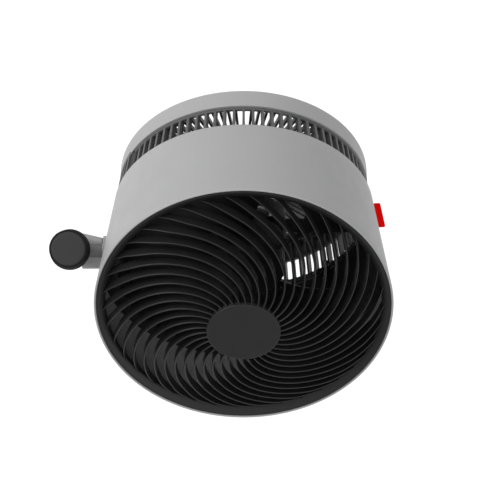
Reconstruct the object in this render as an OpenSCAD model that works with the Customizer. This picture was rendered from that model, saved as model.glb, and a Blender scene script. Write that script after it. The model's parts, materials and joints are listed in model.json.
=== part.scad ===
// Drum-shaped axial air circulator head on a swivelling, tilting column.
// Millimetres. The origin is the mouth of the pole socket, +Z runs up the pole.
// The drum is drawn in its own frame: the origin is where the tilt axis crosses
// the drum axis, +Z is the outlet, +Y is the short side of the slanted rim.

/* [Drum shell] */
// Radius of the shell where the slanted rim crosses the drum axis
rim_r = 150; // [147:1:153]
// Shell radius gained per millimetre towards the outlet
shell_taper = 0.124; // [0.118:0.002:0.130]
// Angle between the rim plane and a square cut, degrees
rim_slant = 11.3; // [9:0.1:12]
// Wall of the shell
shell_wall = 2.2; // [1.8:0.1:2.4]
// Rim height above the tilt axis
front_z = 72; // [71:1:74]
// Rear edge of the shell
shell_rear_z = -52.5; // [-53:0.5:-52]

/* [Outlet grille] */
// Swirl ribs
rib_count = 38; // [30:1:42]
// Thickness of a rib
rib_t = 2; // [1.6:0.1:2.4]
// Depth of a rib behind the dome
rib_depth = 9; // [7:0.5:10]
// Height of the dome over the rim plane, at its centre
dome_h = 34.9; // [32:0.1:36]
// Turn of a rib from the hub to the rim, degrees
rib_sweep = 68; // [50:0.5:70]
// Direction of the first rib at the hub, degrees
rib_start = 1.9; // [0:0.1:9]
// Radius of the hub disc
hub_disc_r = 36.6; // [35:0.1:38]

/* [Intake guard] */
// L-shaped guard ribs around the rear
guard_ribs = 84; // [72:2:90]
// Thickness of a guard rib
guard_rib_t = 2.4; // [2:0.1:2.8]
// Front edge of the rear cap
cap_front_z = -81.5; // [-82:0.5:-81]
// Rear face of the drum
rear_z = -104; // [-106:0.5:-103]
// Radius of the rear cap
cap_r = 130; // [129.5:0.5:131]

/* [Impeller] */
// Blades
blade_count = 5; // [4:1:6]
// Radius of the blade tips
impeller_r = 121; // [115:1:122]
// Turn of a blade over its height, degrees
blade_twist = 40; // [36:1:50]

/* [Column] */
// Radius of the control knob's foot
knob_r = 21; // [20.5:0.5:22]
// Radius of the column
column_r = 16; // [16:0.5:17]
// Radius of the collar on the pole
collar_r = 12; // [11.5:0.5:12.5]
// Height of the tilt axis above the socket mouth
pivot_h = 50; // [49:0.5:52]
// Distance from the pole axis to the drum axis
drum_offset = 175; // [174.5:0.5:177]
// Radius of the pole socket
socket_r = 8; // [7:0.5:8]
// Depth of the pole socket
socket_depth = 26; // [20:1:26]
// Top of the control knob
knob_top_z = 100; // [99:1:103]
// Radius of the tilt axle
axle_r = 6; // [5.5:0.5:6.5]

/* [Pose] */
// Angle of the drum axis from the pole at rest, degrees
rest_tilt = 54; // [0:1:90]

/* [Hidden] */
$fn = 96;
EPS = 0.01;
RUN = 0.05;                       // radial clearance of a running fit
GAP = 0.3;                        // gap between pieces that move past each other
SHELL_MAX_Z = 112;                // the blank shell, before the rim is cut

// Rim plane: centre of the cut through the cone, and its lengthened half axis
slope = tan(rim_slant);
lean = shell_taper * slope;
rim_cy = -rim_r * lean / (1 - lean * lean);
rim_cz = front_z - slope * rim_cy;
rim_stretch = sqrt(1 + slope * slope);

// Outlet grille, in the frame of the rim plane
dome_r = 0.945 * rim_r;           // where the dome meets the rim plane
band_w = 8;                       // smooth band inside the rim
band_low = -7;
band_high = 1.2;
rib_r0 = hub_disc_r + 0.5;
rib_r1 = rim_r - shell_wall - band_w + 2;
rib_steps = 12;
sweep_power = 1.3;
disc_top = 33;
disc_t = 2;
grille_ring_r = hub_disc_r + 2.9;
grille_ring_in = hub_disc_r - 4.6;
grille_ring_h = 9;

// Side tab
tab_turn = 5;                     // from the far side of the drum
tab_z0 = -52.4;
tab_h = 31;
tab_out = 7.4;
tab_t = 1.4;
tongue_z0 = -46;
tongue_h = 17;
tongue_in = 3.4;

// Duct and motor
duct_r = 129;
duct_wall = 2;
duct_z0 = -44;
duct_z1 = 31;
duct_flange_t = 3;
duct_flange_r = 142;
lug_r = 123.5;
lug_count = 4;
lug_turn = 45;
vane_count = 5;
vane_t = 3;
motor_r = 34;
motor_z0 = -66;
motor_z1 = -22;
mount_r = 44;
mount_z0 = -42;
mount_z1 = -26;
shaft_r = 4;
bearing_r = 11;
bearing_h = 7;
magnet_r = 18;
stator_in = 19;
stator_z0 = -54;
stator_h = 20;
cable_y = 8;                      // where the motor cable leaves through the duct
cable_z = -34;

// Intake guard
guard_z = rear_z + 2.5;           // rear face of the spokes
spoke_depth = 6;
guard_side = 6.5;                 // depth of the side stretch of a rib
guard_in_r = 36;
guard_foot_r = 131.2;
ring_back = 0.6;                  // how far the rear rings stand back from the spokes
cap_wall = 2;
cap_round = 4;
cap_in_r = 109;
guard_out_r = cap_r - cap_wall - 0.3;
cap_screw_r = 116;

// Impeller
impeller_z = -14;
blade_h = 36;
hub_r = 42;
blade_chord = 8;
blade_rake = 22;
blade_steps = 8;

// Tilt joint, measured along the tilt axis from the pole
arm_half = 18;                    // half width of the arm's shroud at the column
arm_half_end = 13.5;              // its half width at the drum, on the side of +Y
arm_half_at = 11;                 // where the narrowing starts, from the pole axis
arm_top = 7;                      // height of the shroud's sides above the tilt axis
arm_base = 16;                    // depth of the shroud below the tilt axis
arm_round = 4;
arm_lip = 2;                      // top edge of the shroud's sides
arm_end = 30.2;
barrel_r = 9;
flange_r = 11;                    // flange of the barrel, inside the column
flange_t = 3;
barrel_end = 30.7;
boss_r = 15.5;
boss_x = 31.6;                    // outer face of the drum's side boss
plate_x = drum_offset - 134;      // outer face of the hinge plate
plate_t = 4;
plate_half = 20;
plate_screw_at = 15;
seat_x = 4;                       // face that the friction washers press on
nut_x = -4.9;

// Column
edge = 0.6;                       // chamfer on the column's edges
collar_h = 30;
set_screw_r = 2.5;
spigot_r = 7;
spigot_bore = 3;
spigot_top = 37.8;
column_foot = collar_h + 1.2;
column_floor = 35.3;
column_in_r = 13.6;
column_top = 80;
knob_foot = column_top + 0.5;
deck_z = 75;
deck_t = 3.4;
board_z = 63;
board_t = 1.6;
board_r = 13.2;
board_post_at = 11.2;             // from the pole axis
board_post_r = 2.6;
board_post_h = 3;
encoder_z = board_z + board_t;
encoder_h = 7;
encoder_shaft_r = 3;

// Outer radius of the shell at a height along the drum axis
function shell_r(z) = rim_r + shell_taper * (z - front_z);

// A point at a height, some way out from the shell's outer face
function tab_point(z, out) = [shell_r(z) + out, z];

// Height of the grille's dome over the rim plane, at a radius
function dome(r) = dome_h * (1 - (r / dome_r) * (r / dome_r));

// ---- Frames ----

module drum_place() {
    translate([drum_offset, 0, pivot_h]) rotate([rest_tilt, 0, 0]) children();
}

module rim_place() {
    translate([0, rim_cy, rim_cz]) rotate([-rim_slant, 0, 0]) children();
}

// Along the tilt axis, from the pole: local Z becomes row X
module tilt_place(x) {
    translate([x, 0, pivot_h]) rotate([0, 90, 0]) children();
}

// Along the tilt axis, in the drum's frame
module drum_side(x) {
    translate([x - drum_offset, 0, 0]) rotate([0, 90, 0]) children();
}

module around(count, start = 0) {
    for (i = [0:count - 1]) rotate([0, 0, start + i * 360 / count]) children();
}

// ---- Shared shapes ----

module ring(r_out, r_in, z0, z1) {
    rotate_extrude() translate([r_in, z0]) square([r_out - r_in, z1 - z0]);
}

// A band of the shell's cone, set in from its outer face
module cone_ring(z0, z1, inset, wall) {
    rotate_extrude() polygon([
        [shell_r(z0) - inset - wall, z0], [shell_r(z0) - inset, z0],
        [shell_r(z1) - inset, z1], [shell_r(z1) - inset - wall, z1]]);
}

// A slab parallel to the rim plane
module rim_slab(low, high) {
    rim_place() translate([-200, -200, low]) cube([400, 400, high - low]);
}

// The four screws of the hinge plate, each along the tilt axis, in the drum's frame
module plate_screws_at(x) {
    for (y = [-1, 1]) for (z = [-1, 1])
        translate([x, y * plate_screw_at, z * plate_screw_at]) rotate([0, 90, 0]) children();
}

module rounded_rectangle(w, h, r) {
    translate([r, 0]) square([w - 2 * r, h]);
    translate([0, r]) square([w, h - 2 * r]);
    for (x = [r, w - r]) for (y = [r, h - r]) translate([x, y]) circle(r);
}

// A screw along +Z: its head's seat is at 0, the shank runs down
module screw(shank_r, length, head_r, head_h) {
    rotate_extrude() polygon([[0, -length], [shank_r, -length], [shank_r, 0],
        [head_r, 0], [head_r, head_h], [0, head_h]]);
}

// ---- Pole mount ----

module pole_collar() color("dimgray") difference() {
    rotate_extrude() polygon([[0, 0], [collar_r - 1, 0], [collar_r, 1],
        [collar_r, collar_h], [spigot_r, collar_h], [spigot_r, spigot_top], [0, spigot_top]]);
    translate([0, 0, -1]) cylinder(h = socket_depth + 1, r = socket_r);
    cylinder(h = spigot_top + 1, r = spigot_bore);
    ring(spigot_r + 1, spigot_r - 1, column_floor + GAP, column_floor + GAP + 1.4);
    for (a = [90, 270]) rotate([0, 0, a]) translate([0, 0, socket_depth / 2])
        rotate([0, 90, 0]) cylinder(h = collar_r + 1, r = set_screw_r);
}

module collar_set_screws() color("black")
    for (a = [90, 270]) rotate([0, 0, a]) translate([socket_r + GAP, 0, socket_depth / 2])
        rotate([0, 90, 0]) difference() {
            cylinder(h = 3.4, r = set_screw_r);
            translate([0, 0, 1.4]) cylinder(h = 3, r = 1.45, $fn = 6);
        }

module swivel_washer() color("ivory")
    ring(collar_r - 0.5, spigot_r + RUN, collar_h, collar_h + 1);

module swivel_retaining_ring() color("gray") difference() {
    ring(spigot_r + 2.5, spigot_r - 1, column_floor + GAP + 0.1, column_floor + GAP + 1.3);
    translate([spigot_r + 1, 0, column_floor]) cube([6, 4, 6], center = true);
}

// ---- Column ----

// The three posts under the control board
module board_posts() {
    for (a = [100, 230, 275]) rotate([0, 0, a]) translate([board_post_at, 0, 0]) children();
}

module column_housing() color("silver") difference() {
    union() {
        difference() {
            rotate_extrude() polygon([[0, column_foot], [column_r - edge, column_foot],
                [column_r, column_foot + edge], [column_r, column_top - edge],
                [column_r - edge, column_top], [0, column_top]]);
            translate([0, 0, column_floor]) cylinder(h = column_top, r = column_in_r);
        }
        board_posts() translate([0, 0, board_z - board_post_h])
            cylinder(h = board_post_h, r = board_post_r);
    }
    cylinder(h = column_top, r = spigot_r + RUN);
    tilt_place(seat_x) cylinder(h = 20, r = barrel_r);
    tilt_place(-column_r - 1) cylinder(h = 6, r = 4.5);
    board_posts() translate([0, 0, board_z - board_post_h - 1]) cylinder(h = board_post_h + 2, r = 1);
}

// The metal tube that the tilt axle turns in, with a flange inside the column
module hinge_barrel() color("gray") difference() {
    union() {
        tilt_place(seat_x) cylinder(h = barrel_end - seat_x, r = barrel_r);
        tilt_place(seat_x) cylinder(h = flange_t, r = flange_r);
    }
    tilt_place(seat_x - 1) cylinder(h = 40, r = axle_r + RUN);
}

// A trough under the barrel, open on top, narrower at the drum on the side of +Y
module arm_shroud() color("silver") difference() {
    translate([8, -arm_half, pivot_h - arm_base]) rotate([90, 0, 90])
        linear_extrude(arm_end - 8) rounded_rectangle(2 * arm_half, arm_base + arm_top, arm_round);
    translate([0, 0, column_foot]) cylinder(h = column_top, r = column_r + EPS);
    tilt_place(0) cylinder(h = arm_end + 1, r = barrel_r);
    translate([0, 0, pivot_h]) rotate([90, 0, 90]) linear_extrude(40) polygon([
        [-barrel_r, 0], [-arm_half + arm_lip, arm_top + 1],
        [arm_half - arm_lip, arm_top + 1], [barrel_r, 0]]);
    translate([arm_half_at, arm_half, 0])
        rotate([0, 0, -atan((arm_half - arm_half_end) / (arm_end - arm_half_at))])
            translate([-10, 0, 0]) cube([60, 20, column_top]);
}

module column_deck() color("black") difference() {
    translate([0, 0, deck_z]) cylinder(h = deck_t, r = column_in_r - 0.1);
    translate([0, 0, deck_z - 1]) cylinder(h = deck_t + 2, r = 4.6);
}

module encoder_body() color("gray") difference() {
    union() {
        translate([-6, -6, encoder_z]) cube([12, 12, encoder_h]);
        translate([0, 0, encoder_z + encoder_h - EPS]) cylinder(h = deck_z + 1 - encoder_z, r = 4.5);
    }
    translate([0, 0, encoder_z + 1.5]) cylinder(h = 30, r = encoder_shaft_r + RUN);
}

module control_board() color("darkgreen") difference() {
    union() {
        translate([0, 0, board_z]) cylinder(h = board_t, r = board_r);
        translate([-12, -3, encoder_z - EPS]) cube([4, 6, 3]);
        translate([7.5, -4, encoder_z - EPS]) cube([4, 8, 2]);
    }
    board_posts() translate([0, 0, board_z - 1]) cylinder(h = 4, r = 1.2);
}

module board_screws() color("gray")
    board_posts() translate([0, 0, encoder_z]) screw(1, 4, 2, 1.4);

module dc_inlet() color("black") difference() {
    union() {
        translate([-column_in_r + 1.4, -5, pivot_h - 5.5]) cube([5, 10, 11]);
        tilt_place(-column_r + 0.2) cylinder(h = 5, r = 4.4);
    }
    difference() {
        tilt_place(-column_r) cylinder(h = 7, r = 2.85);
        tilt_place(-column_r) cylinder(h = 8, r = 1);
    }
}

module tilt_friction_washers() color("ivory") {
    tilt_place(seat_x - 1.5) ring(9, axle_r + RUN, 0, 1.5);
    tilt_place(barrel_end) ring(barrel_r - 0.2, axle_r + RUN, 0, 0.8);
}

module tilt_spring_washer() color("gray") tilt_place(seat_x - 3.5) rotate_extrude()
    polygon([[axle_r + RUN, 0], [axle_r + 1.2, 0], [8.8, 1], [8.8, 2], [8, 2], [axle_r + RUN, 1]]);

// ---- Knob ----

module knob_dial() color("dimgray") difference() {
    rotate_extrude() polygon(concat(
        [[encoder_shaft_r, knob_foot + 4], [encoder_shaft_r + 3, knob_foot + 4],
         [encoder_shaft_r + 3, knob_foot + 8], [knob_r - 3, knob_foot + 8],
         [knob_r - 2, knob_foot], [knob_r - 0.5, knob_foot], [knob_r, knob_foot + 0.8]],
        [for (a = [0:15:90]) [knob_r - 3.4 + 3 * cos(a), knob_top_z - 3 + 3 * sin(a)]],
        [[knob_r - 4, knob_top_z], [knob_r - 4, knob_top_z - 1.2], [encoder_shaft_r, knob_top_z - 1.2]]));
}

module knob_cap() color("gray") translate([0, 0, knob_top_z - 1.2])
    cylinder(h = 1, r = knob_r - 4.1);

module encoder_shaft() color("silver") translate([0, 0, encoder_z + 2])
    cylinder(h = knob_top_z - 1.2 - encoder_z - 2, r = encoder_shaft_r);

// ---- Drum: shell and duct ----

module outer_shell() color("silver") drum_place() difference() {
    union() {
        cone_ring(shell_rear_z, SHELL_MAX_Z, 0, shell_wall);
        intersection() {
            plate_screws_at(plate_x - drum_offset - 9) cylinder(h = 9, r = 3.5);
            cone_ring(-30, 30, 1, 12);
        }
    }
    rim_slab(0, 90);
    rotate([0, 0, tab_turn]) translate([shell_r(0) - 15, -tab_t / 2 - RUN, tongue_z0 - RUN])
        cube([20, tab_t + 2 * RUN, tongue_h + 2 * RUN]);
    rotate([0, -90, 0]) cylinder(h = rim_r, r = boss_r + 0.1);
    plate_screws_at(plate_x - drum_offset - 3) cylinder(h = 5, r = 1.5);
}

module inner_duct() color("black") drum_place() difference() {
    union() {
        ring(duct_r, duct_r - duct_wall, duct_z0, duct_z1);
        ring(duct_flange_r, duct_r - duct_wall, duct_z1 - duct_flange_t, duct_z1);
        around(lug_count, lug_turn) translate([lug_r - 4.5, -5, duct_z0]) cube([9, 10, 7]);
    }
    around(lug_count, lug_turn) translate([lug_r, 0, duct_z0 - 1]) cylinder(h = 9, r = 2);
    translate([-duct_r, cable_y, cable_z]) rotate([0, 90, 0]) cylinder(h = 8, r = 3.2, center = true);
}

// A flat tab, held by a tongue in a slot of the shell
module side_tab() color("red") drum_place() rotate([90, 0, tab_turn])
    linear_extrude(tab_t, center = true) polygon([
        tab_point(tab_z0, 0.1), tab_point(tab_z0, tab_out),
        tab_point(tab_z0 + tab_h, tab_out), tab_point(tab_z0 + tab_h, 0.1),
        tab_point(tongue_z0 + tongue_h, 0.1), tab_point(tongue_z0 + tongue_h, -tongue_in),
        tab_point(tongue_z0, -tongue_in), tab_point(tongue_z0, 0.1)]);

// ---- Drum: outlet grille ----

// Point of a rib's centre line, in the rim plane's frame
function rib_turn(r) = rib_start + rib_sweep * pow((r - rib_r0) / (rib_r1 - rib_r0), sweep_power);
function rib_point(r) = [r * cos(rib_turn(r)), r * rim_stretch * sin(rib_turn(r))];
function rib_side(i, step) = let(r = rib_r0 + i * step,
    d = rib_point(min(r + 0.5, rib_r1)) - rib_point(max(r - 0.5, rib_r0)))
    [-d[1], d[0]] / norm(d) * rib_t / 2;
function rib_ring(i, step) = let(r = rib_r0 + i * step, p = rib_point(r), s = rib_side(i, step),
    top = dome(r))
    [[p[0] - s[0], p[1] - s[1], top - rib_depth], [p[0] + s[0], p[1] + s[1], top - rib_depth],
     [p[0] + s[0], p[1] + s[1], top], [p[0] - s[0], p[1] - s[1], top]];

module swirl_rib() {
    step = (rib_r1 - rib_r0) / rib_steps;
    points = [for (i = [0:rib_steps]) each rib_ring(i, step)];
    last = rib_steps * 4;
    sides = [for (i = [0:rib_steps - 1]) for (k = [0:3])
        let(a = i * 4 + k, b = i * 4 + (k + 1) % 4)
        each [[a, a + 4, b + 4], [a, b + 4, b]]];
    polyhedron(points, concat([[0, 1, 2], [0, 2, 3]], sides,
        [[last + 2, last + 1, last], [last + 3, last + 2, last]]));
}

module front_grille() color("black") drum_place() {
    intersection() {
        cone_ring(20, SHELL_MAX_Z, shell_wall + 0.2, band_w);
        rim_slab(band_low, band_high);
    }
    rim_place() {
        around(rib_count) swirl_rib();
        ring(grille_ring_r, grille_ring_in, disc_top - disc_t - grille_ring_h, disc_top - disc_t);
    }
}

module grille_hub_disc() color("black") drum_place() rim_place() {
    translate([0, 0, disc_top - disc_t]) cylinder(h = disc_t, r = hub_disc_r);
    ring(grille_ring_in - 0.1, grille_ring_in - 2, disc_top - disc_t - 5, disc_top - disc_t + EPS);
}

// ---- Drum: intake ----

module guard_rib() rotate([90, 0, 0]) linear_extrude(guard_rib_t, center = true) polygon([
    [guard_foot_r, shell_rear_z + 2], [guard_foot_r - guard_side, shell_rear_z + 2],
    [guard_out_r - guard_side, cap_front_z], [guard_out_r - guard_side - 3, guard_z + spoke_depth],
    [guard_in_r, guard_z + spoke_depth], [guard_in_r, guard_z],
    [guard_out_r, guard_z], [guard_out_r, cap_front_z + 3]]);

module intake_guard() color("dimgray") drum_place() difference() {
    union() {
        around(guard_ribs, 90) guard_rib();
        ring(guard_foot_r + 0.3, guard_foot_r - guard_side - 0.5, shell_rear_z - 1, shell_rear_z + 5);
        ring(guard_out_r - 0.5, guard_out_r - guard_side + 0.7, cap_front_z - 4, cap_front_z + 2.5);
        ring(guard_out_r - 0.5, cap_in_r - 2, guard_z + ring_back, guard_z + 4);
        ring(guard_in_r + 3, guard_in_r - 4, guard_z + ring_back, guard_z + spoke_depth + 1);
        ring(63, 60, guard_z + ring_back, guard_z + 4);
        around(lug_count, lug_turn) translate([lug_r - 5, -6.5, duct_z0 - 8]) cube([9.5, 13, 8]);
    }
    around(lug_count, lug_turn) translate([lug_r, 0, duct_z0 - 20]) cylinder(h = 22, r = 2.2);
    around(lug_count, lug_turn) translate([lug_r, 0, duct_z0 - 20]) cylinder(h = 12, r = 4.2);
    around(4) translate([cap_screw_r, 0, guard_z - 1]) cylinder(h = 8, r = 1.5);
}

module guard_screws() color("gray") drum_place() around(lug_count, lug_turn)
    translate([lug_r, 0, duct_z0 - 8]) rotate([180, 0, 0]) screw(2, 14, 4, 2.6);

module rear_cap() color("silver") drum_place() difference() {
    rotate_extrude() difference() {
        polygon(concat([[cap_in_r, rear_z]],
            [for (a = [-90:10:0]) [cap_r - cap_round + cap_round * cos(a),
                rear_z + cap_round + cap_round * sin(a)]],
            [[cap_r, cap_front_z], [cap_in_r, cap_front_z]]));
        translate([cap_in_r - 1, rear_z + cap_wall])
            square([cap_r - cap_wall - cap_in_r + 1, 30]);
    }
    around(4) translate([cap_screw_r, 0, rear_z - 1]) cylinder(h = 4, r = 1.6);
    around(4) translate([cap_screw_r, 0, rear_z - 1]) cylinder(h = 2.2 + EPS, r = 3.2);
}

module cap_screws() color("gray") drum_place() around(4)
    translate([cap_screw_r, 0, rear_z + 1.2]) rotate([180, 0, 0]) screw(1.5, 5, 3, 1);

module rear_hub_cap() color("silver") drum_place() rotate_extrude()
    polygon([[0, rear_z], [guard_in_r, rear_z], [guard_in_r + 2.5, rear_z + 1.5],
        [guard_in_r + 2.5, guard_z], [0, guard_z]]);

// ---- Drum: motor ----

module motor_mount() color("black") drum_place() difference() {
    union() {
        ring(mount_r, motor_r + 0.2, mount_z0, mount_z1);
        around(vane_count) translate([mount_r - 1, -vane_t / 2, mount_z0])
            cube([duct_r - duct_wall - mount_r + 0.8, vane_t, mount_z1 - mount_z0]);
    }
    around(4, 45) translate([motor_r + 5, 0, mount_z0 - 1]) cylinder(h = 20, r = 2);
    translate([-motor_r - 5, cable_y, cable_z]) rotate([0, 90, 0]) cylinder(h = 16, r = 2, center = true);
}

module motor_can() color("gray") drum_place() difference() {
    union() {
        translate([0, 0, motor_z0]) cylinder(h = motor_z1 - motor_z0 - 4, r = motor_r);
        translate([0, 0, motor_z0 - 5]) cylinder(h = 6, r = bearing_r + 4);
    }
    translate([0, 0, motor_z0 + 2]) cylinder(h = 50, r = motor_r - 1.2);
    translate([0, 0, motor_z0 - 3]) cylinder(h = 6, r = bearing_r);
    around(6) translate([24, 0, motor_z0 - 1]) cylinder(h = 4, r = 2.5);
}

module motor_end_plate() color("gray") drum_place() difference() {
    rotate_extrude() polygon([[bearing_r, motor_z1 - 8], [bearing_r + 3, motor_z1 - 8],
        [bearing_r + 3, motor_z1 - 4], [mount_r, motor_z1 - 4], [mount_r, motor_z1 - 1],
        [shaft_r + 2, motor_z1 - 1], [shaft_r + 2, motor_z1 - 2], [bearing_r, motor_z1 - 2]]);
    around(4, 45) translate([motor_r + 5, 0, motor_z1 - 6]) cylinder(h = 10, r = 2.1);
}

module motor_screws() color("silver") drum_place() around(4, 45)
    translate([motor_r + 5, 0, motor_z1 - 1]) screw(2, 14, 3.6, 2);

module stator_core() color("silver") drum_place()
    ring(motor_r - 1.2, stator_in, stator_z0, stator_z0 + stator_h);

module stator_windings() color("chocolate") drum_place() {
    ring(motor_r - 3, stator_in + 2, stator_z0 - 4, stator_z0);
    ring(motor_r - 3, stator_in + 2, stator_z0 + stator_h, stator_z0 + stator_h + 2.5);
}

module front_bearing() color("silver") drum_place()
    ring(bearing_r, shaft_r + RUN, motor_z1 - 2 - bearing_h, motor_z1 - 2);

module rear_bearing() color("silver") drum_place()
    ring(bearing_r, shaft_r + RUN, motor_z0 - 3, motor_z0 - 3 + bearing_h);

module motor_cable() color("black") drum_place()
    translate([-duct_r - 1.5, cable_y, cable_z]) rotate([0, 90, 0])
        cylinder(h = duct_r + 1.3 - motor_r, r = 1.8);

module cable_grommet() color("black") drum_place() translate([-duct_r + 1, cable_y, cable_z])
    rotate([0, 90, 0]) rotate_extrude() polygon([[1.8, -2.2], [4.4, -2.2], [4.4, -1.2], [3.2, -0.9],
        [3.2, 1.8], [4.6, 1.9], [4.6, 3], [1.8, 3]]);

module terminal_block() color("ivory") drum_place()
    translate([-duct_r - 3.8, cable_y - 5, cable_z - 7]) cube([2.3, 10, 14]);

// ---- Drum: tilt hinge ----

module hinge_plate() color("gray") drum_place() difference() {
    union() {
        translate([plate_x - drum_offset, -plate_half, -plate_half])
            cube([plate_t, 2 * plate_half, 2 * plate_half]);
        drum_side(boss_x) cylinder(h = plate_x - boss_x + EPS, r = boss_r);
    }
    drum_side(boss_x - 1) cylinder(h = 20, r = axle_r);
    drum_side(boss_x - 1) cylinder(h = 1.4, r = barrel_r + 0.1);
    plate_screws_at(plate_x - drum_offset - 1) cylinder(h = 8, r = 1.6);
    plate_screws_at(plate_x - drum_offset + 2.2) cylinder(h = 4, r = 3);
}

module hinge_screws() color("silver") drum_place()
    plate_screws_at(plate_x - drum_offset + 2.2) screw(1.5, 5, 2.9, 1.6);

module tilt_axle() color("silver") drum_place() difference() {
    drum_side(nut_x - 1) cylinder(h = plate_x + plate_t - nut_x + 1, r = axle_r);
    drum_side(nut_x - 2) cylinder(h = 60, r = 2.6);
}

module tilt_lock_nut() color("silver") drum_place() difference() {
    drum_side(nut_x) cylinder(h = 5.4, r = 8.6, $fn = 6);
    drum_side(nut_x - 1) cylinder(h = 8, r = axle_r);
}

// ---- Impeller ----

// Radius and turn of a blade's edge in plan
function blade_r(i) = hub_r - 2 + i * (impeller_r - hub_r + 2) / blade_steps;
function blade_a(i) = blade_rake * pow(i / blade_steps, 2);

module blade() linear_extrude(blade_h, twist = -blade_twist, slices = 12, segments = 18) polygon(concat(
    [for (i = [0:blade_steps]) let(a = blade_a(i)) blade_r(i) * [cos(a), sin(a)]],
    [for (i = [blade_steps:-1:0]) let(a = blade_a(i) + blade_chord * 36 / blade_r(i))
        blade_r(i) * [cos(a), sin(a)]]));

module impeller() color("black") drum_place() {
    rotate_extrude() translate([0, impeller_z]) polygon([
        [shaft_r, 2], [10, 2], [10, 27], [15, 29], [15, 41], [hub_r - 6, 41], [hub_r - 3, 37],
        [hub_r - 3, 0], [hub_r, 0], [hub_r, 38], [hub_r - 5, 44],
        [12, 44], [12, 32], [shaft_r, 32]]);
    around(blade_count) translate([0, 0, impeller_z + 1]) blade();
}

module motor_shaft() color("silver") drum_place()
    translate([0, 0, motor_z0 - 1]) cylinder(h = impeller_z + 40 - motor_z0, r = shaft_r);

module rotor_magnets() color("gray") drum_place()
    ring(magnet_r, shaft_r, stator_z0, stator_z0 + stator_h);

module impeller_nut() color("silver") drum_place() difference() {
    translate([0, 0, impeller_z + 32]) cylinder(h = 6.5, r = 7.5, $fn = 6);
    translate([0, 0, impeller_z + 31]) cylinder(h = 9, r = shaft_r);
}

module spinner_cap() color("black") drum_place()
    translate([0, 0, impeller_z + 41]) cylinder(h = 3.5, r = 12);

pole_collar();
collar_set_screws();
swivel_washer();
swivel_retaining_ring();
column_housing();
hinge_barrel();
arm_shroud();
column_deck();
encoder_body();
control_board();
board_screws();
dc_inlet();
tilt_friction_washers();
tilt_spring_washer();
knob_dial();
knob_cap();
encoder_shaft();
outer_shell();
inner_duct();
front_grille();
grille_hub_disc();
intake_guard();
guard_screws();
rear_cap();
cap_screws();
rear_hub_cap();
motor_mount();
motor_can();
motor_end_plate();
motor_screws();
stator_core();
stator_windings();
front_bearing();
rear_bearing();
motor_cable();
cable_grommet();
terminal_block();
side_tab();
hinge_plate();
hinge_screws();
tilt_axle();
tilt_lock_nut();
impeller();
motor_shaft();
rotor_magnets();
impeller_nut();
spinner_cap();
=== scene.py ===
"""Looks of the axial air circulator head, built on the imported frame. Lengths in metres."""
import json
import math

import bmesh
import bpy
from mathutils import Matrix, Vector
from mathutils.geometry import delaunay_2d_cdt


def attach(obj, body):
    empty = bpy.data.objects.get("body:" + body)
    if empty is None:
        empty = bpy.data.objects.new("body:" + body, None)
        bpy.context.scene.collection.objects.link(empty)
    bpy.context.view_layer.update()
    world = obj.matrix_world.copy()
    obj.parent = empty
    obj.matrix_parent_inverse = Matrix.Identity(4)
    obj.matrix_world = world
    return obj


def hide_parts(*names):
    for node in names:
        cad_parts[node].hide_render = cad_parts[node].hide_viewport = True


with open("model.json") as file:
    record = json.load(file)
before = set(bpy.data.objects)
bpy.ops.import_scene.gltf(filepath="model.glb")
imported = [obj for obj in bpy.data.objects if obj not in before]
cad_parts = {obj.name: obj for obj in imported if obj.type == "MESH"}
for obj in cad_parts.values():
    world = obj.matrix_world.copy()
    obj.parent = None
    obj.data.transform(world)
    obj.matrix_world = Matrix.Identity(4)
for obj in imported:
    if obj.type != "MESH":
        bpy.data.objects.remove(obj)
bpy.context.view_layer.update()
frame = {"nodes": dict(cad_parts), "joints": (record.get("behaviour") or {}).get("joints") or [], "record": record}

MM = 0.001
TAU = 2 * math.pi

# ---- Driving sizes, as in the design ----
RIM_R = 150 * MM
TAPER = 0.124
SLANT = math.radians(11.3)
FRONT_Z = 72 * MM
SHELL_REAR_Z = -52.5 * MM
SHELL_WALL = 2.2 * MM
CAP_FRONT_Z = -81.5 * MM
REAR_Z = -104 * MM
CAP_R = 130 * MM
RIB_COUNT = 38
DOME_H = 34.9 * MM
RIB_SWEEP = math.radians(68)
RIB_START = math.radians(1.9)
RIB_SWEEP_POWER = 1.3
RIB_FADE_R = 124 * MM
RIB_FADE = 5.5 * MM
RIB_HALF = 0.75 * MM
RIB_DEPTH = 11 * MM
RIB_FOOT_FLARE = 2.4 * MM
HUB_DISC_R = 36.6 * MM
DISC_TOP = 33 * MM
GUARD_RIBS = 84
GUARD_RIB_T = 2.4 * MM
GUARD_RIB_DEPTH = 6.4 * MM
GUARD_FRONT_R = 131.3 * MM
BLADES = 5
IMPELLER_R = 121 * MM
HUB_R = 42 * MM
IMPELLER_Z = -14 * MM
BLADE_H = 36 * MM
BLADE_TWIST = math.radians(40)
BLADE_RAKE = math.radians(22)
BLADE_SWEEP = 144 * MM
KNOB_R = 21 * MM
KNOB_FOOT = 80.5 * MM
KNOB_TOP = 100 * MM
ARM_FROM = 10 * MM
ARM_TO = 30.2 * MM
ARM_NARROW_FROM = 11 * MM
ARM_HALF = 18 * MM
ARM_HALF_END = 13.5 * MM
ARM_LIP = 5.5 * MM
BARREL_R = 9 * MM
TAB_LENGTH = 31 * MM
TAB_OUT = 7.3 * MM
TAB_Z = -53 * MM
TAB_TURN = math.radians(5)

# ---- Derived sizes ----
SLOPE = math.tan(SLANT)
LEAN = TAPER * SLOPE
RIM_CY = -RIM_R * LEAN / (1 - LEAN * LEAN)
RIM_CZ = FRONT_Z - SLOPE * RIM_CY
RIM_STRETCH = math.sqrt(1 + SLOPE * SLOPE)
DOME_R = 0.945 * RIM_R
GUARD_Z = REAR_Z + 2.5 * MM
GUARD_OUT_R = CAP_R - 2.3 * MM

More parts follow.
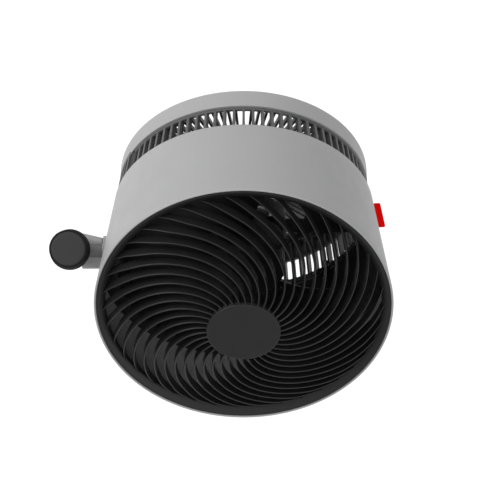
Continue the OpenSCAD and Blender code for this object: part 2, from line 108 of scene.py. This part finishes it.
joints = {j["name"]: j for j in frame["joints"]}
pivot = Vector(joints["drum_tilt"]["pos_m"])
outlet = Vector(joints["impeller_spin"]["axis"]).normalized()
tilt_axis = Vector(joints["drum_tilt"]["axis"]).normalized()
side_up = outlet.cross(tilt_axis)
DRUM = Matrix((tilt_axis, side_up, outlet)).transposed().to_4x4()
DRUM.translation = pivot
RIM = DRUM @ Matrix.Translation((0, RIM_CY, RIM_CZ)) @ Matrix.Rotation(-SLANT, 4, "X")
ROW = Matrix.Identity(4)
SLOT_OF = {s["node"]: s["material_slot"] for s in frame["record"]["subparts"]}


# ---- Materials ----

def new_material(name):
    material = bpy.data.materials.new(name)
    material.use_nodes = True
    tree = material.node_tree
    return material, tree, tree.nodes["Principled BSDF"]


def noise(tree, scale, detail=3.0, stretch=(1, 1, 1)):
    """A noise value that rides with the piece."""
    coords = tree.nodes.new("ShaderNodeTexCoord")
    mapping = tree.nodes.new("ShaderNodeMapping")
    mapping.inputs["Scale"].default_value = stretch
    texture = tree.nodes.new("ShaderNodeTexNoise")
    texture.inputs["Scale"].default_value = scale
    texture.inputs["Detail"].default_value = detail
    tree.links.new(coords.outputs["Object"], mapping.inputs["Vector"])
    tree.links.new(mapping.outputs["Vector"], texture.inputs["Vector"])
    return texture.outputs["Fac"]


def spread(tree, value, low, high):
    """Maps a noise value onto low..high."""
    node = tree.nodes.new("ShaderNodeMapRange")
    node.inputs["From Min"].default_value = 0.3
    node.inputs["From Max"].default_value = 0.7
    node.inputs["To Min"].default_value = low
    node.inputs["To Max"].default_value = high
    tree.links.new(value, node.inputs["Value"])
    return node.outputs["Result"]


def mottle(tree, shader, color, amount, scale, stretch=(1, 1, 1)):
    """Base colour that drifts a little over the surface."""
    ramp = tree.nodes.new("ShaderNodeValToRGB")
    ramp.color_ramp.elements[0].position = 0.3
    ramp.color_ramp.elements[1].position = 0.7
    ramp.color_ramp.elements[0].color = [c * (1 - amount) for c in color] + [1]
    ramp.color_ramp.elements[1].color = [min(1, c * (1 + amount)) for c in color] + [1]
    tree.links.new(noise(tree, scale, stretch=stretch), ramp.inputs["Fac"])
    tree.links.new(ramp.outputs["Color"], shader.inputs["Base Color"])


def bump(tree, shader, value, depth):
    node = tree.nodes.new("ShaderNodeBump")
    node.inputs["Strength"].default_value = 1.0
    node.inputs["Distance"].default_value = depth
    tree.links.new(value, node.inputs["Height"])
    tree.links.new(node.outputs["Normal"], shader.inputs["Normal"])


def plastic(name, color, rough=0.45, grain=1400, depth=0.012 * MM, vary=0.03, shine=0.5):
    """Moulded plastic: fine spark-eroded grain, slight drift of colour and gloss."""
    material, tree, shader = new_material(name)
    mottle(tree, shader, color, vary, 35)
    tree.links.new(spread(tree, noise(tree, 60), rough - 0.05, rough + 0.05), shader.inputs["Roughness"])
    bump(tree, shader, noise(tree, grain, 2.0), depth)
    shader.inputs["Specular IOR Level"].default_value = shine
    return material


def metal(name, color, rough=0.32, stretch=(1, 1, 1), grain=600, depth=0.006 * MM):
    """Machined or plated metal with fine tool marks along one direction."""
    material, tree, shader = new_material(name)
    mottle(tree, shader, color, 0.06, grain, stretch)
    marks = noise(tree, grain, 4.0, stretch)
    tree.links.new(spread(tree, marks, rough - 0.08, rough + 0.1), shader.inputs["Roughness"])
    bump(tree, shader, marks, depth)
    shader.inputs["Metallic"].default_value = 1.0
    return material


def windings(name):
    """Enamelled wire: fine turns wound round a ring."""
    material, tree, shader = new_material(name)
    coords = tree.nodes.new("ShaderNodeTexCoord")
    wave = tree.nodes.new("ShaderNodeTexWave")
    wave.inputs["Scale"].default_value = 400
    wave.inputs["Distortion"].default_value = 1.5
    tree.links.new(coords.outputs["Object"], wave.inputs["Vector"])
    ramp = tree.nodes.new("ShaderNodeValToRGB")
    ramp.color_ramp.elements[0].color = (0.18, 0.05, 0.02, 1)
    ramp.color_ramp.elements[1].color = (0.65, 0.26, 0.11, 1)
    tree.links.new(wave.outputs["Fac"], ramp.inputs["Fac"])
    tree.links.new(ramp.outputs["Color"], shader.inputs["Base Color"])
    bump(tree, shader, wave.outputs["Fac"], 0.15 * MM)
    shader.inputs["Metallic"].default_value = 0.8
    shader.inputs["Roughness"].default_value = 0.35
    return material


MATERIALS = {
    "shell_plastic": plastic("shell_grey", (0.29, 0.29, 0.291), 0.5, 1600, 0.006 * MM, 0.012),
    "grille_plastic": plastic("grille_black", (0.0095, 0.0095, 0.0098), 0.42, 1500, 0.008 * MM, 0.05, 0.3),
    "guard_plastic": plastic("guard_grey", (0.075, 0.075, 0.076), 0.5, 1500, 0.012 * MM, 0.04),
    "knob_plastic": plastic("knob_grey", (0.018, 0.018, 0.0184), 0.5, 2200, 0.01 * MM, 0.04, 0.28),
    "column_plastic": plastic("column_grey", (0.032, 0.032, 0.033), 0.48, 1500, 0.012 * MM, 0.04),
    "impeller_plastic": plastic("impeller_black", (0.009, 0.009, 0.0093), 0.5, 1200, 0.01 * MM, 0.05, 0.16),
    "tab_red": plastic("tab_red", (0.8, 0.0, 0.0), 0.6, 2600, 0.02 * MM, 0.05, 0.05),
    "washer_plastic": plastic("washer_ivory", (0.75, 0.73, 0.64), 0.5),
    "circuit_board": plastic("board_green", (0.015, 0.16, 0.06), 0.35, 900, 0.02 * MM, 0.12),
    "black_rubber": plastic("rubber_black", (0.012, 0.012, 0.0125), 0.8, 1800, 0.02 * MM, 0.05, 0.06),
    "motor_alloy": metal("motor_alloy", (0.58, 0.59, 0.6), 0.45),
    "barrel_alloy": plastic("barrel_coat", (0.15, 0.15, 0.152), 0.42, 1800, 0.01 * MM, 0.03, 0.4),
    "core_steel": metal("core_steel", (0.42, 0.42, 0.44), 0.4, (1, 1, 6)),
    "steel": metal("zinc_steel", (0.62, 0.62, 0.64), 0.3),
    "copper_wire": windings("copper_wire"),
    "magnet": plastic("ferrite", (0.06, 0.06, 0.065), 0.35, 700, 0.02 * MM, 0.15),
}


# ---- Mesh building ----

def loft(rings, close_path=True, close_ring=True, caps=False):
    """Quads between equal rings of points."""
    count, size = len(rings), len(rings[0])
    points = [Vector(p) for ring in rings for p in ring]
    faces = []
    for i in range(count if close_path else count - 1):
        a, b = i * size, (i + 1) % count * size
        for k in range(size if close_ring else size - 1):
            n = (k + 1) % size
            faces.append((a + k, b + k, b + n, a + n))
    if caps:
        faces.append(tuple(range(size)))
        faces.append(tuple(reversed(range((count - 1) * size, count * size))))
    return points, faces


def revolve(profile, steps=192):
    """A profile of (radius, z) turned round Z. It is closed unless it starts and ends on the axis."""
    on_axis = profile[0][0] < 1e-9 and profile[-1][0] < 1e-9
    body = profile[1:-1] if on_axis else profile
    rings = []
    for i in range(steps):
        c, s = math.cos(TAU * i / steps), math.sin(TAU * i / steps)
        rings.append([(r * c, r * s, z) for r, z in body])
    points, faces = loft(rings, close_ring=not on_axis)
    if on_axis:
        size = len(body)
        for end, k, flip in ((profile[0], 0, False), (profile[-1], size - 1, True)):
            centre = len(points)
            points.append(Vector((0, 0, end[1])))
            for i in range(steps):
                a, b = i * size + k, (i + 1) % steps * size + k
                faces.append((centre, b, a) if flip else (centre, a, b))
    return points, faces


def arc(x, y, r, start, end, steps=5):
    """Points of an arc, angles in degrees."""
    angles = [math.radians(start + (end - start) * i / steps) for i in range(steps + 1)]
    return [(x + r * math.cos(a), y + r * math.sin(a)) for a in angles]


def rounded(outline, r, steps=4):
    """The outline's corners, rounded. r is one radius, or one for each corner."""
    radii = r if isinstance(r, (list, tuple)) else [r] * len(outline)
    out = []
    for i, (p, radius) in enumerate(zip(outline, radii)):
        p = Vector(p)
        a = (Vector(outline[i - 1]) - p)
        b = (Vector(outline[(i + 1) % len(outline)]) - p)
        reach = min(radius, 0.45 * a.length, 0.45 * b.length)
        a, b = p + a.normalized() * reach, p + b.normalized() * reach
        for k in range(steps + 1):
            t = k / steps
            out.append(tuple(a * (1 - t) ** 2 + p * 2 * t * (1 - t) + b * t * t))
    return out


def turned(part, count, start=0.0):
    """Copies of a part round Z."""
    points, faces = part
    size = len(points)
    all_points, all_faces = [], []
    for i in range(count):
        turn = Matrix.Rotation(start + TAU * i / count, 3, "Z")
        all_points += [turn @ p for p in points]
        all_faces += [tuple(k + i * size for k in f) for f in faces]
    return all_points, all_faces


def piece(name, parts, place, body, node, smooth=35):
    """One object from mesh parts, riding on a body and standing for a CAD node."""
    mesh = bpy.data.meshes.new(name)
    points, faces = [], []
    for part_points, part_faces in parts:
        start = len(points)
        points += [place @ Vector(p) for p in part_points]
        faces += [tuple(k + start for k in f) for f in part_faces]
    mesh.from_pydata(points, [], faces)
    work = bmesh.new()
    work.from_mesh(mesh)
    bmesh.ops.recalc_face_normals(work, faces=work.faces)
    work.to_mesh(mesh)
    work.free()
    for polygon in mesh.polygons:
        polygon.use_smooth = True
    mesh.set_sharp_from_angle(angle=math.radians(smooth))
    thing = bpy.data.objects.new(name, mesh)
    bpy.context.scene.collection.objects.link(thing)
    mesh.materials.append(MATERIALS[SLOT_OF[node]])
    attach(thing, body)
    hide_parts(node)
    return thing


def bevel(thing, width, segments=2, angle=40):
    modifier = thing.modifiers.new("round_edges", "BEVEL")
    modifier.width = width
    modifier.segments = segments
    modifier.limit_method = "ANGLE"
    modifier.angle_limit = math.radians(angle)
    modifier.harden_normals = False


# ---- Shell ----

def shell_r(z):
    return RIM_R + TAPER * (z - FRONT_Z)


def rim_radius(phi):
    """Outer radius of the shell where the rim plane cuts it, at an angle round the drum."""
    return RIM_R / (1 + LEAN * math.sin(phi))


def rim_height(phi):
    return FRONT_Z - SLOPE * rim_radius(phi) * math.sin(phi)


def outer_shell():
    half = SHELL_WALL / 2
    rings = []
    for i in range(256):
        phi = TAU * i / 256
        front = rim_height(phi)
        low, high = SHELL_REAR_Z + half, front - half
        loop = [(0, low + (high - low) * k / 8) for k in range(9)]
        loop += [(half - half * math.cos(a), high + half * math.sin(a))
                 for a in (math.pi * k / 8 for k in range(1, 8))]
        loop += [(SHELL_WALL, high + (low - high) * k / 8) for k in range(9)]
        loop += [(half + half * math.cos(a), low - half * math.sin(a))
                 for a in (math.pi * k / 6 for k in range(1, 6))]
        rings.append([((shell_r(z) - inset) * math.cos(phi), (shell_r(z) - inset) * math.sin(phi), z)
                      for inset, z in loop])
    return piece("shell_skin", [loft(rings)], DRUM, "drum", "outer_shell")


# ---- Outlet grille, in the frame of the rim plane ----

def dome(r):
    return DOME_H * (1 - (r / DOME_R) ** 2)


def rim_point(r, phi, z):
    """A point of the rim plane's frame. Radii stretch with the slanted rim."""
    return Vector((r * math.cos(phi), r * RIM_STRETCH * math.sin(phi), z))


def rib_turn(r):
    """Direction of a rib's centre line at a radius."""
    r0, r1 = HUB_DISC_R + 0.5 * MM, RIM_R - SHELL_WALL - 6 * MM
    return RIB_START + RIB_SWEEP * max(0.0, (r - r0) / (r1 - r0)) ** RIB_SWEEP_POWER


def swirl_rib(steps=52):
    """A swept rib with a round crest, which sinks and spreads its foot towards the rim."""
    r0, r1 = HUB_DISC_R + 0.05 * MM, RIM_R - 8 * MM
    step = 0.3 * MM
    rings = []
    for i in range(steps + 1):
        r = r0 + (r1 - r0) * i / steps
        here = rim_point(r, rib_turn(r), 0)
        ahead = rim_point(r + step, rib_turn(r + step), 0)
        behind = rim_point(r - step, rib_turn(r - step), 0)
        along = (ahead - behind).normalized()
        side = Vector((-along.y, along.x, 0))
        out = max(0.0, (r - RIB_FADE_R) / (r1 - RIB_FADE_R))
        top = dome(r) - RIB_FADE * out * out * (3 - 2 * out)
        half = RIB_HALF * (1 - 0.3 * out)
        deep = RIB_DEPTH * (1 - 0.45 * out)
        low = half * 1.5 + RIB_FOOT_FLARE * out * out
        ring = [here + side * low + Vector((0, 0, top - deep)),
                here + side * half * 1.1 + Vector((0, 0, top - 2.2 * MM))]
        for k in range(7):
            a = math.pi * k / 6
            ring.append(here + side * half * math.cos(a) + Vector((0, 0, top - half + half * math.sin(a))))
        ring += [here - side * half * 1.1 + Vector((0, 0, top - 2.2 * MM)),
                 here - side * low + Vector((0, 0, top - deep))]
        rings.append(ring)
    return loft(rings, close_path=False, caps=True)


def grille_band():
    """The bowl-shaped band that the ribs run out on."""
    outline = [(SHELL_WALL + 0.3 * MM, -9 * MM), (SHELL_WALL + 0.3 * MM, -0.9 * MM),
               (SHELL_WALL + 0.8 * MM, -0.5 * MM)]
    for k in range(9):
        t = k / 8
        outline.append(((2.8 + 8.6 * t) * MM, (-0.5 - 5.2 * t ** 1.5) * MM))
    outline += [(11.6 * MM, -6.6 * MM), (11.2 * MM, -9.2 * MM)]
    rings = []
    for i in range(256):
        phi = TAU * i / 256
        rings.append([rim_point(RIM_R - inset, phi, z) for inset, z in outline])
    return loft(rings)


def front_grille():
    ring_r = HUB_DISC_R + 0.3 * MM
    hub = rounded([(HUB_DISC_R - 4.6 * MM, 21.5 * MM), (ring_r, 21.5 * MM),
                   (ring_r, 30.8 * MM), (HUB_DISC_R - 4.6 * MM, 30.8 * MM)], 0.8 * MM)
    parts = [turned(swirl_rib(), RIB_COUNT), grille_band(), revolve(hub)]
    return piece("outlet_grille", parts, RIM, "drum", "front_grille", smooth=50)


def grille_hub_disc():
    profile = [(0, DISC_TOP)] + [(r * MM, DISC_TOP) for r in (12, 24, 34)]
    profile += arc(HUB_DISC_R - 0.9 * MM, DISC_TOP - 0.9 * MM, 0.9 * MM, 90, 0, 5)
    profile += [(HUB_DISC_R, DISC_TOP - 2 * MM), (HUB_DISC_R - 1 * MM, DISC_TOP - 2.2 * MM),
                (0, DISC_TOP - 2.2 * MM)]
    return piece("grille_disc", [revolve(profile)], RIM, "drum", "grille_hub_disc")


# ---- Intake guard ----

def band_radius(z):
    """Outer radius of the slotted side of the guard."""
    t = (SHELL_REAR_Z - z) / (SHELL_REAR_Z - CAP_FRONT_Z)
    return GUARD_FRONT_R + (GUARD_OUT_R - GUARD_FRONT_R) * max(0.0, min(1.0, t))


def slotted_band():
    """The guard's side: a ring with one slot between each two ribs."""
    pitch = TAU / GUARD_RIBS
    middle = (GUARD_FRONT_R + GUARD_OUT_R) / 2
    half = pitch * middle / 2
    z_front, z_rear = SHELL_REAR_Z + 3 * MM, CAP_FRONT_Z - 3 * MM
    slot_front, slot_rear = SHELL_REAR_Z - 2 * MM, CAP_FRONT_Z + 3.2 * MM
    wide = half - GUARD_RIB_T / 2
    slot = rounded([(-wide, slot_rear), (wide, slot_rear), (wide * 0.97, slot_front),
                    (-wide * 0.97, slot_front)], [1 * MM, 1 * MM, 3 * MM, 3 * MM], 5)
    edge = [(x, z) for z in (z_rear, slot_rear, (slot_rear + slot_front) / 2, slot_front, z_front)
            for x in (-half, half)]
    order = [0, 1, 3, 5, 7, 9, 8, 6, 4, 2]
    border = [edge[k] for k in order]
    flat = [Vector(p) for p in border + slot]
    n = len(border)
    loops = [list(range(n)), list(range(n + len(slot) - 1, n - 1, -1))]
    points, _, faces, *_ = delaunay_2d_cdt(flat, [], loops, 2, 1e-7)
    points = [tuple(p) for p in points]
    inside = [f for f in faces if not in_slot(f, points, slot)]
    cell = [Vector((band_radius(z) * math.cos(x / middle), band_radius(z) * math.sin(x / middle), z))
            for x, z in points]
    return turned((cell, inside), GUARD_RIBS, math.radians(90) + pitch / 2)


def in_slot(face, points, slot):
    """Whether a triangle's middle lies inside the slot's outline."""
    x = sum(points[k][0] for k in face) / len(face)
    z = sum(points[k][1] for k in face) / len(face)
    hit = False
    for i in range(len(slot)):
        (x0, z0), (x1, z1) = slot[i - 1], slot[i]
        if (z0 > z) != (z1 > z) and x < (x1 - x0) * (z - z0) / (z1 - z0) + x0:
            hit = not hit
    return hit


def guard_rib():
    """An L-shaped blade from the front ring round to the guard's hub."""
    inner = GUARD_OUT_R - GUARD_RIB_DEPTH
    outline = [(128.6 * MM, SHELL_REAR_Z + 1 * MM), (125.3 * MM, SHELL_REAR_Z + 1 * MM),
               (inner, CAP_FRONT_Z), (inner - 1.5 * MM, GUARD_Z + 7.5 * MM),
               (inner - 6 * MM, GUARD_Z + 5 * MM), (37 * MM, GUARD_Z + 5 * MM),
               (37 * MM, GUARD_Z + 0.2 * MM), (GUARD_OUT_R - 2 * MM, GUARD_Z + 0.2 * MM),
               (GUARD_OUT_R - 2.4 * MM, CAP_FRONT_Z)]
    loop = rounded(outline, [0.5 * MM] * 3 + [4 * MM, 4 * MM] + [0.5 * MM] * 4, 3)
    t, e = GUARD_RIB_T / 2, 0.35 * MM
    rings = []
    for y, inset in ((-t, e), (-t + e, 0), (t - e, 0), (t, e)):
        rings.append([shift_in(loop, k, inset, y) for k in range(len(loop))])
    return loft(rings, close_path=False, caps=True)


def shift_in(loop, k, inset, y):
    """Point k of a loop in the XZ plane, moved in along the loop's normal."""
    a, b = Vector(loop[k - 1]), Vector(loop[(k + 1) % len(loop)])
    along = (b - a).normalized()
    x, z = loop[k]
    return Vector((x + along.y * inset, y, z - along.x * inset))


def intake_guard():
    ribs = turned(guard_rib(), GUARD_RIBS, math.radians(90))
    hub = rounded([(32 * MM, GUARD_Z + 0.4 * MM), (39.5 * MM, GUARD_Z + 0.4 * MM),
                   (39.5 * MM, GUARD_Z + 7 * MM), (32 * MM, GUARD_Z + 7 * MM)], 0.8 * MM)
    stiffener = rounded([(60 * MM, GUARD_Z + 0.4 * MM), (63 * MM, GUARD_Z + 0.4 * MM),
                         (63 * MM, GUARD_Z + 4 * MM), (60 * MM, GUARD_Z + 4 * MM)], 0.6 * MM)
    outer = rounded([(107 * MM, GUARD_Z + 0.4 * MM), (127 * MM, GUARD_Z + 0.4 * MM),
                     (127 * MM, GUARD_Z + 4 * MM), (107 * MM, GUARD_Z + 4 * MM)], 0.6 * MM)
    guard = piece("guard_ribs", [ribs, revolve(hub), revolve(stiffener), revolve(outer, 256)],
                  DRUM, "drum", "intake_guard", smooth=50)
    side = piece("guard_side", [slotted_band()], DRUM, "drum", "intake_guard", smooth=50)
    weld = side.modifiers.new("weld", "WELD")
    weld.merge_threshold = 0.02 * MM
    wall = side.modifiers.new("wall", "SOLIDIFY")
    wall.thickness = 2.6 * MM
    wall.offset = -1
    bevel(side, 0.35 * MM)
    return guard


# ---- Impeller ----

def blade(stations=16, around=15):
    """A twisted blade with a rounded nose and tip, along the same sweep as the design's."""
    rings = []
    for i in range(stations + 1):
        t = i / stations
        r = (HUB_R - 2 * MM) * (1 - t) + IMPELLER_R * t
        middle = BLADE_RAKE * t * t + math.radians(BLADE_SWEEP / r)
        tip = 0.09 * max(0.0, (t - 0.7) / 0.3) ** 2
        thick = (3.4 - 1.4 * t) * MM
        camber = (4 - t) * MM
        loop = []
        for k in range(2 * around):
            s = k / around if k < around else 2 - k / around
            side = 1 if k < around else -1
            bulge = 4 * s * (1 - s)
            c = tip + (1 - 2 * tip) * s
            z = BLADE_H * c + 1 * MM - camber * bulge * (1 - s) + side * (thick / 2 * bulge ** 0.5)
            angle = middle + BLADE_TWIST * c
            loop.append(Vector((r * math.cos(angle), r * math.sin(angle), IMPELLER_Z + z)))
        rings.append(loop)
    return loft(rings, close_path=False, caps=True)


def impeller():
    z = IMPELLER_Z
    hub = [(4 * MM, z + 2 * MM), (10 * MM, z + 2 * MM), (10 * MM, z + 28 * MM),
           (HUB_R - 3 * MM, z + 28 * MM), (HUB_R - 3 * MM, z),
           (HUB_R - 0.5 * MM, z), (HUB_R, z + 0.5 * MM)]
    hub += arc(HUB_R - 8 * MM, z + 36 * MM, 8 * MM, 0, 90, 8)
    hub += [(13 * MM, z + 44 * MM), (12 * MM, z + 43 * MM), (12 * MM, z + 32 * MM),
            (4 * MM, z + 32 * MM)]
    return piece("impeller_fan", [revolve(hub, 128), turned(blade(), BLADES)], DRUM,
                 "impeller_rotor", "impeller", smooth=50)


# ---- Column, knob and arm ----

def knob():
    """A conical grip ring with a flat cap let into its top."""
    r = KNOB_R
    profile = [(3 * MM, KNOB_FOOT + 4 * MM), (6 * MM, KNOB_FOOT + 4 * MM), (6 * MM, KNOB_FOOT + 8 * MM),
               (r - 3 * MM, KNOB_FOOT + 8 * MM), (r - 2 * MM, KNOB_FOOT)]
    profile += arc(r - 0.8 * MM, KNOB_FOOT + 0.5 * MM, 0.5 * MM, -90, 0, 4)
    profile += arc(r - 3.0 * MM, KNOB_TOP - 1.1 * MM, 1.1 * MM, 6, 90, 6)
    profile += [(r - 4 * MM, KNOB_TOP), (r - 4.05 * MM, KNOB_TOP - 0.1 * MM),
                (r - 4.05 * MM, KNOB_TOP - 1.2 * MM), (3 * MM, KNOB_TOP - 1.2 * MM)]
    piece("knob_body", [revolve(profile)], ROW, "knob", "knob_dial")
    top = KNOB_TOP - 0.1 * MM
    face = [(0, top)] + [(x * MM, top) for x in (5, 10, 14)]
    face += arc(r - 4.25 * MM, top - 0.15 * MM, 0.15 * MM, 90, 0, 3)
    face += [(r - 4.1 * MM, KNOB_TOP - 1.2 * MM), (0, KNOB_TOP - 1.2 * MM)]
    piece("knob_face", [revolve(face)], ROW, "knob", "knob_cap")


def arm():
    """The trough under the hinge barrel, narrower at the drum on the side of +Y."""
    rings = []
    for i in range(13):
        x = ARM_FROM + (ARM_TO - ARM_FROM) * i / 12
        narrowing = max(0.0, (x - ARM_NARROW_FROM) / (ARM_TO - ARM_NARROW_FROM))
        right = ARM_HALF + (ARM_HALF_END - ARM_HALF) * narrowing
        rings.append([(x, y, z + pivot.z) for y, z in arm_section(-ARM_HALF, right)])
    return piece("arm_skin", [loft(rings, close_path=False, caps=True)], ROW, "column", "arm_shroud")


def arm_section(left, right):
    """The trough's outline across the tilt axis: it hugs the barrel, with round lips beside it."""
    low, top, corner = -16 * MM, 7 * MM, 5 * MM
    lip = ARM_LIP
    loop = arc(left + corner, low + corner, corner, 180, 270, 6)
    loop += arc(right - corner, low + corner, corner, 270, 360, 6)
    loop += arc(right - lip, top - lip, lip, 0, 90, 10)
    loop += arc(0, 0, BARREL_R + 0.05 * MM, 42, -222, 26)
    loop += arc(left + lip, top - lip, lip, 90, 180, 10)
    return loop


def side_tab():
    """A flat tab with round corners that stands out of the shell's side."""
    outline = []
    for x, z in rounded([(-1 * MM, 0), (TAB_OUT, 0), (TAB_OUT, TAB_LENGTH), (-1 * MM, TAB_LENGTH)],
                        [0.3 * MM, 1.6 * MM, 1.6 * MM, 0.3 * MM], 5):
        outline.append((shell_r(TAB_Z + z) + x, TAB_Z + z))
    rings = []
    for y, inset in ((-0.7, 0.3), (-0.4, 0), (0.4, 0), (0.7, 0.3)):
        rings.append([shift_in(outline, k, inset * MM, y * MM) for k in range(len(outline))])
    place = DRUM @ Matrix.Rotation(TAB_TURN, 4, "Z")
    return piece("red_tab", [loft(rings, close_path=False, caps=True)], place, "drum", "side_tab")


# ---- Stage ----

def camera():
    """A long lens nearly straight above the column, as in a catalogue view."""
    elevation = math.radians(87.28)
    forward = Vector((0, math.cos(elevation), -math.sin(elevation)))
    right = Vector((1, 0, 0))
    up = right.cross(forward)
    aim = pivot + outlet * FRONT_Z + up * 0.415 * RIM_R + right * 0.009 * RIM_R
    data = bpy.data.cameras.new("camera")
    data.lens = 132.2
    data.clip_end = 50
    thing = bpy.data.objects.new("camera", data)
    place = Matrix((right, up, -forward)).transposed().to_4x4()
    place.translation = aim - forward * 11.985 * RIM_R
    thing.matrix_world = place
    bpy.context.scene.collection.objects.link(thing)
    bpy.context.scene.camera = thing


def area_light(name, place, size, power):
    data = bpy.data.lights.new(name, "AREA")
    data.shape = "DISK"
    data.size = size
    data.energy = power
    thing = bpy.data.objects.new(name, data)
    thing.location = place
    thing.rotation_euler = (pivot - Vector(place)).to_track_quat("-Z", "Y").to_euler()
    bpy.context.scene.collection.objects.link(thing)


def stage():
    world = bpy.data.worlds.new("studio")
    world.use_nodes = True
    tree = world.node_tree
    coords = tree.nodes.new("ShaderNodeTexCoord")
    parts = tree.nodes.new("ShaderNodeSeparateXYZ")
    ramp = tree.nodes.new("ShaderNodeValToRGB")
    ramp.color_ramp.elements[0].position = 0.0
    ramp.color_ramp.elements[0].color = (0.3, 0.3, 0.3, 1)
    ramp.color_ramp.elements[1].position = 0.7
    ramp.color_ramp.elements[1].color = (1, 1, 1, 1)
    tree.links.new(coords.outputs["Generated"], parts.inputs["Vector"])
    tree.links.new(parts.outputs["Z"], ramp.inputs["Fac"])
    tree.links.new(ramp.outputs["Color"], tree.nodes["Background"].inputs["Color"])
    tree.nodes["Background"].inputs["Strength"].default_value = 1.1
    bpy.context.scene.world = world
    area_light("key", (-1.4, 0.7, 1.3), 1.4, 30)
    area_light("fill", (1.6, -1.4, 0.9), 1.6, 6)
    mesh = bpy.data.meshes.new("floor")
    half, level = 8, -1.1
    mesh.from_pydata([(-half, -half, level), (half, -half, level), (half, half, level), (-half, half, level)],
                     [], [(0, 1, 2, 3)])
    floor = bpy.data.objects.new("floor", mesh)
    material, tree, shader = new_material("pale_floor")
    mottle(tree, shader, (0.9, 0.9, 0.9), 0.01, 3)
    shader.inputs["Roughness"].default_value = 0.9
    mesh.materials.append(material)
    bpy.context.scene.collection.objects.link(floor)
    bpy.context.scene.view_settings.view_transform = "Standard"


def dress_cad_nodes():
    """The CAD nodes that stay in view get their own materials."""
    for node, thing in frame["nodes"].items():
        if thing.hide_render:
            continue
        thing.data.materials.clear()
        thing.data.materials.append(MATERIALS[SLOT_OF[node]])


camera()
outer_shell()
front_grille()
grille_hub_disc()
intake_guard()
impeller()
knob()
arm()
side_tab()
dress_cad_nodes()
stage()
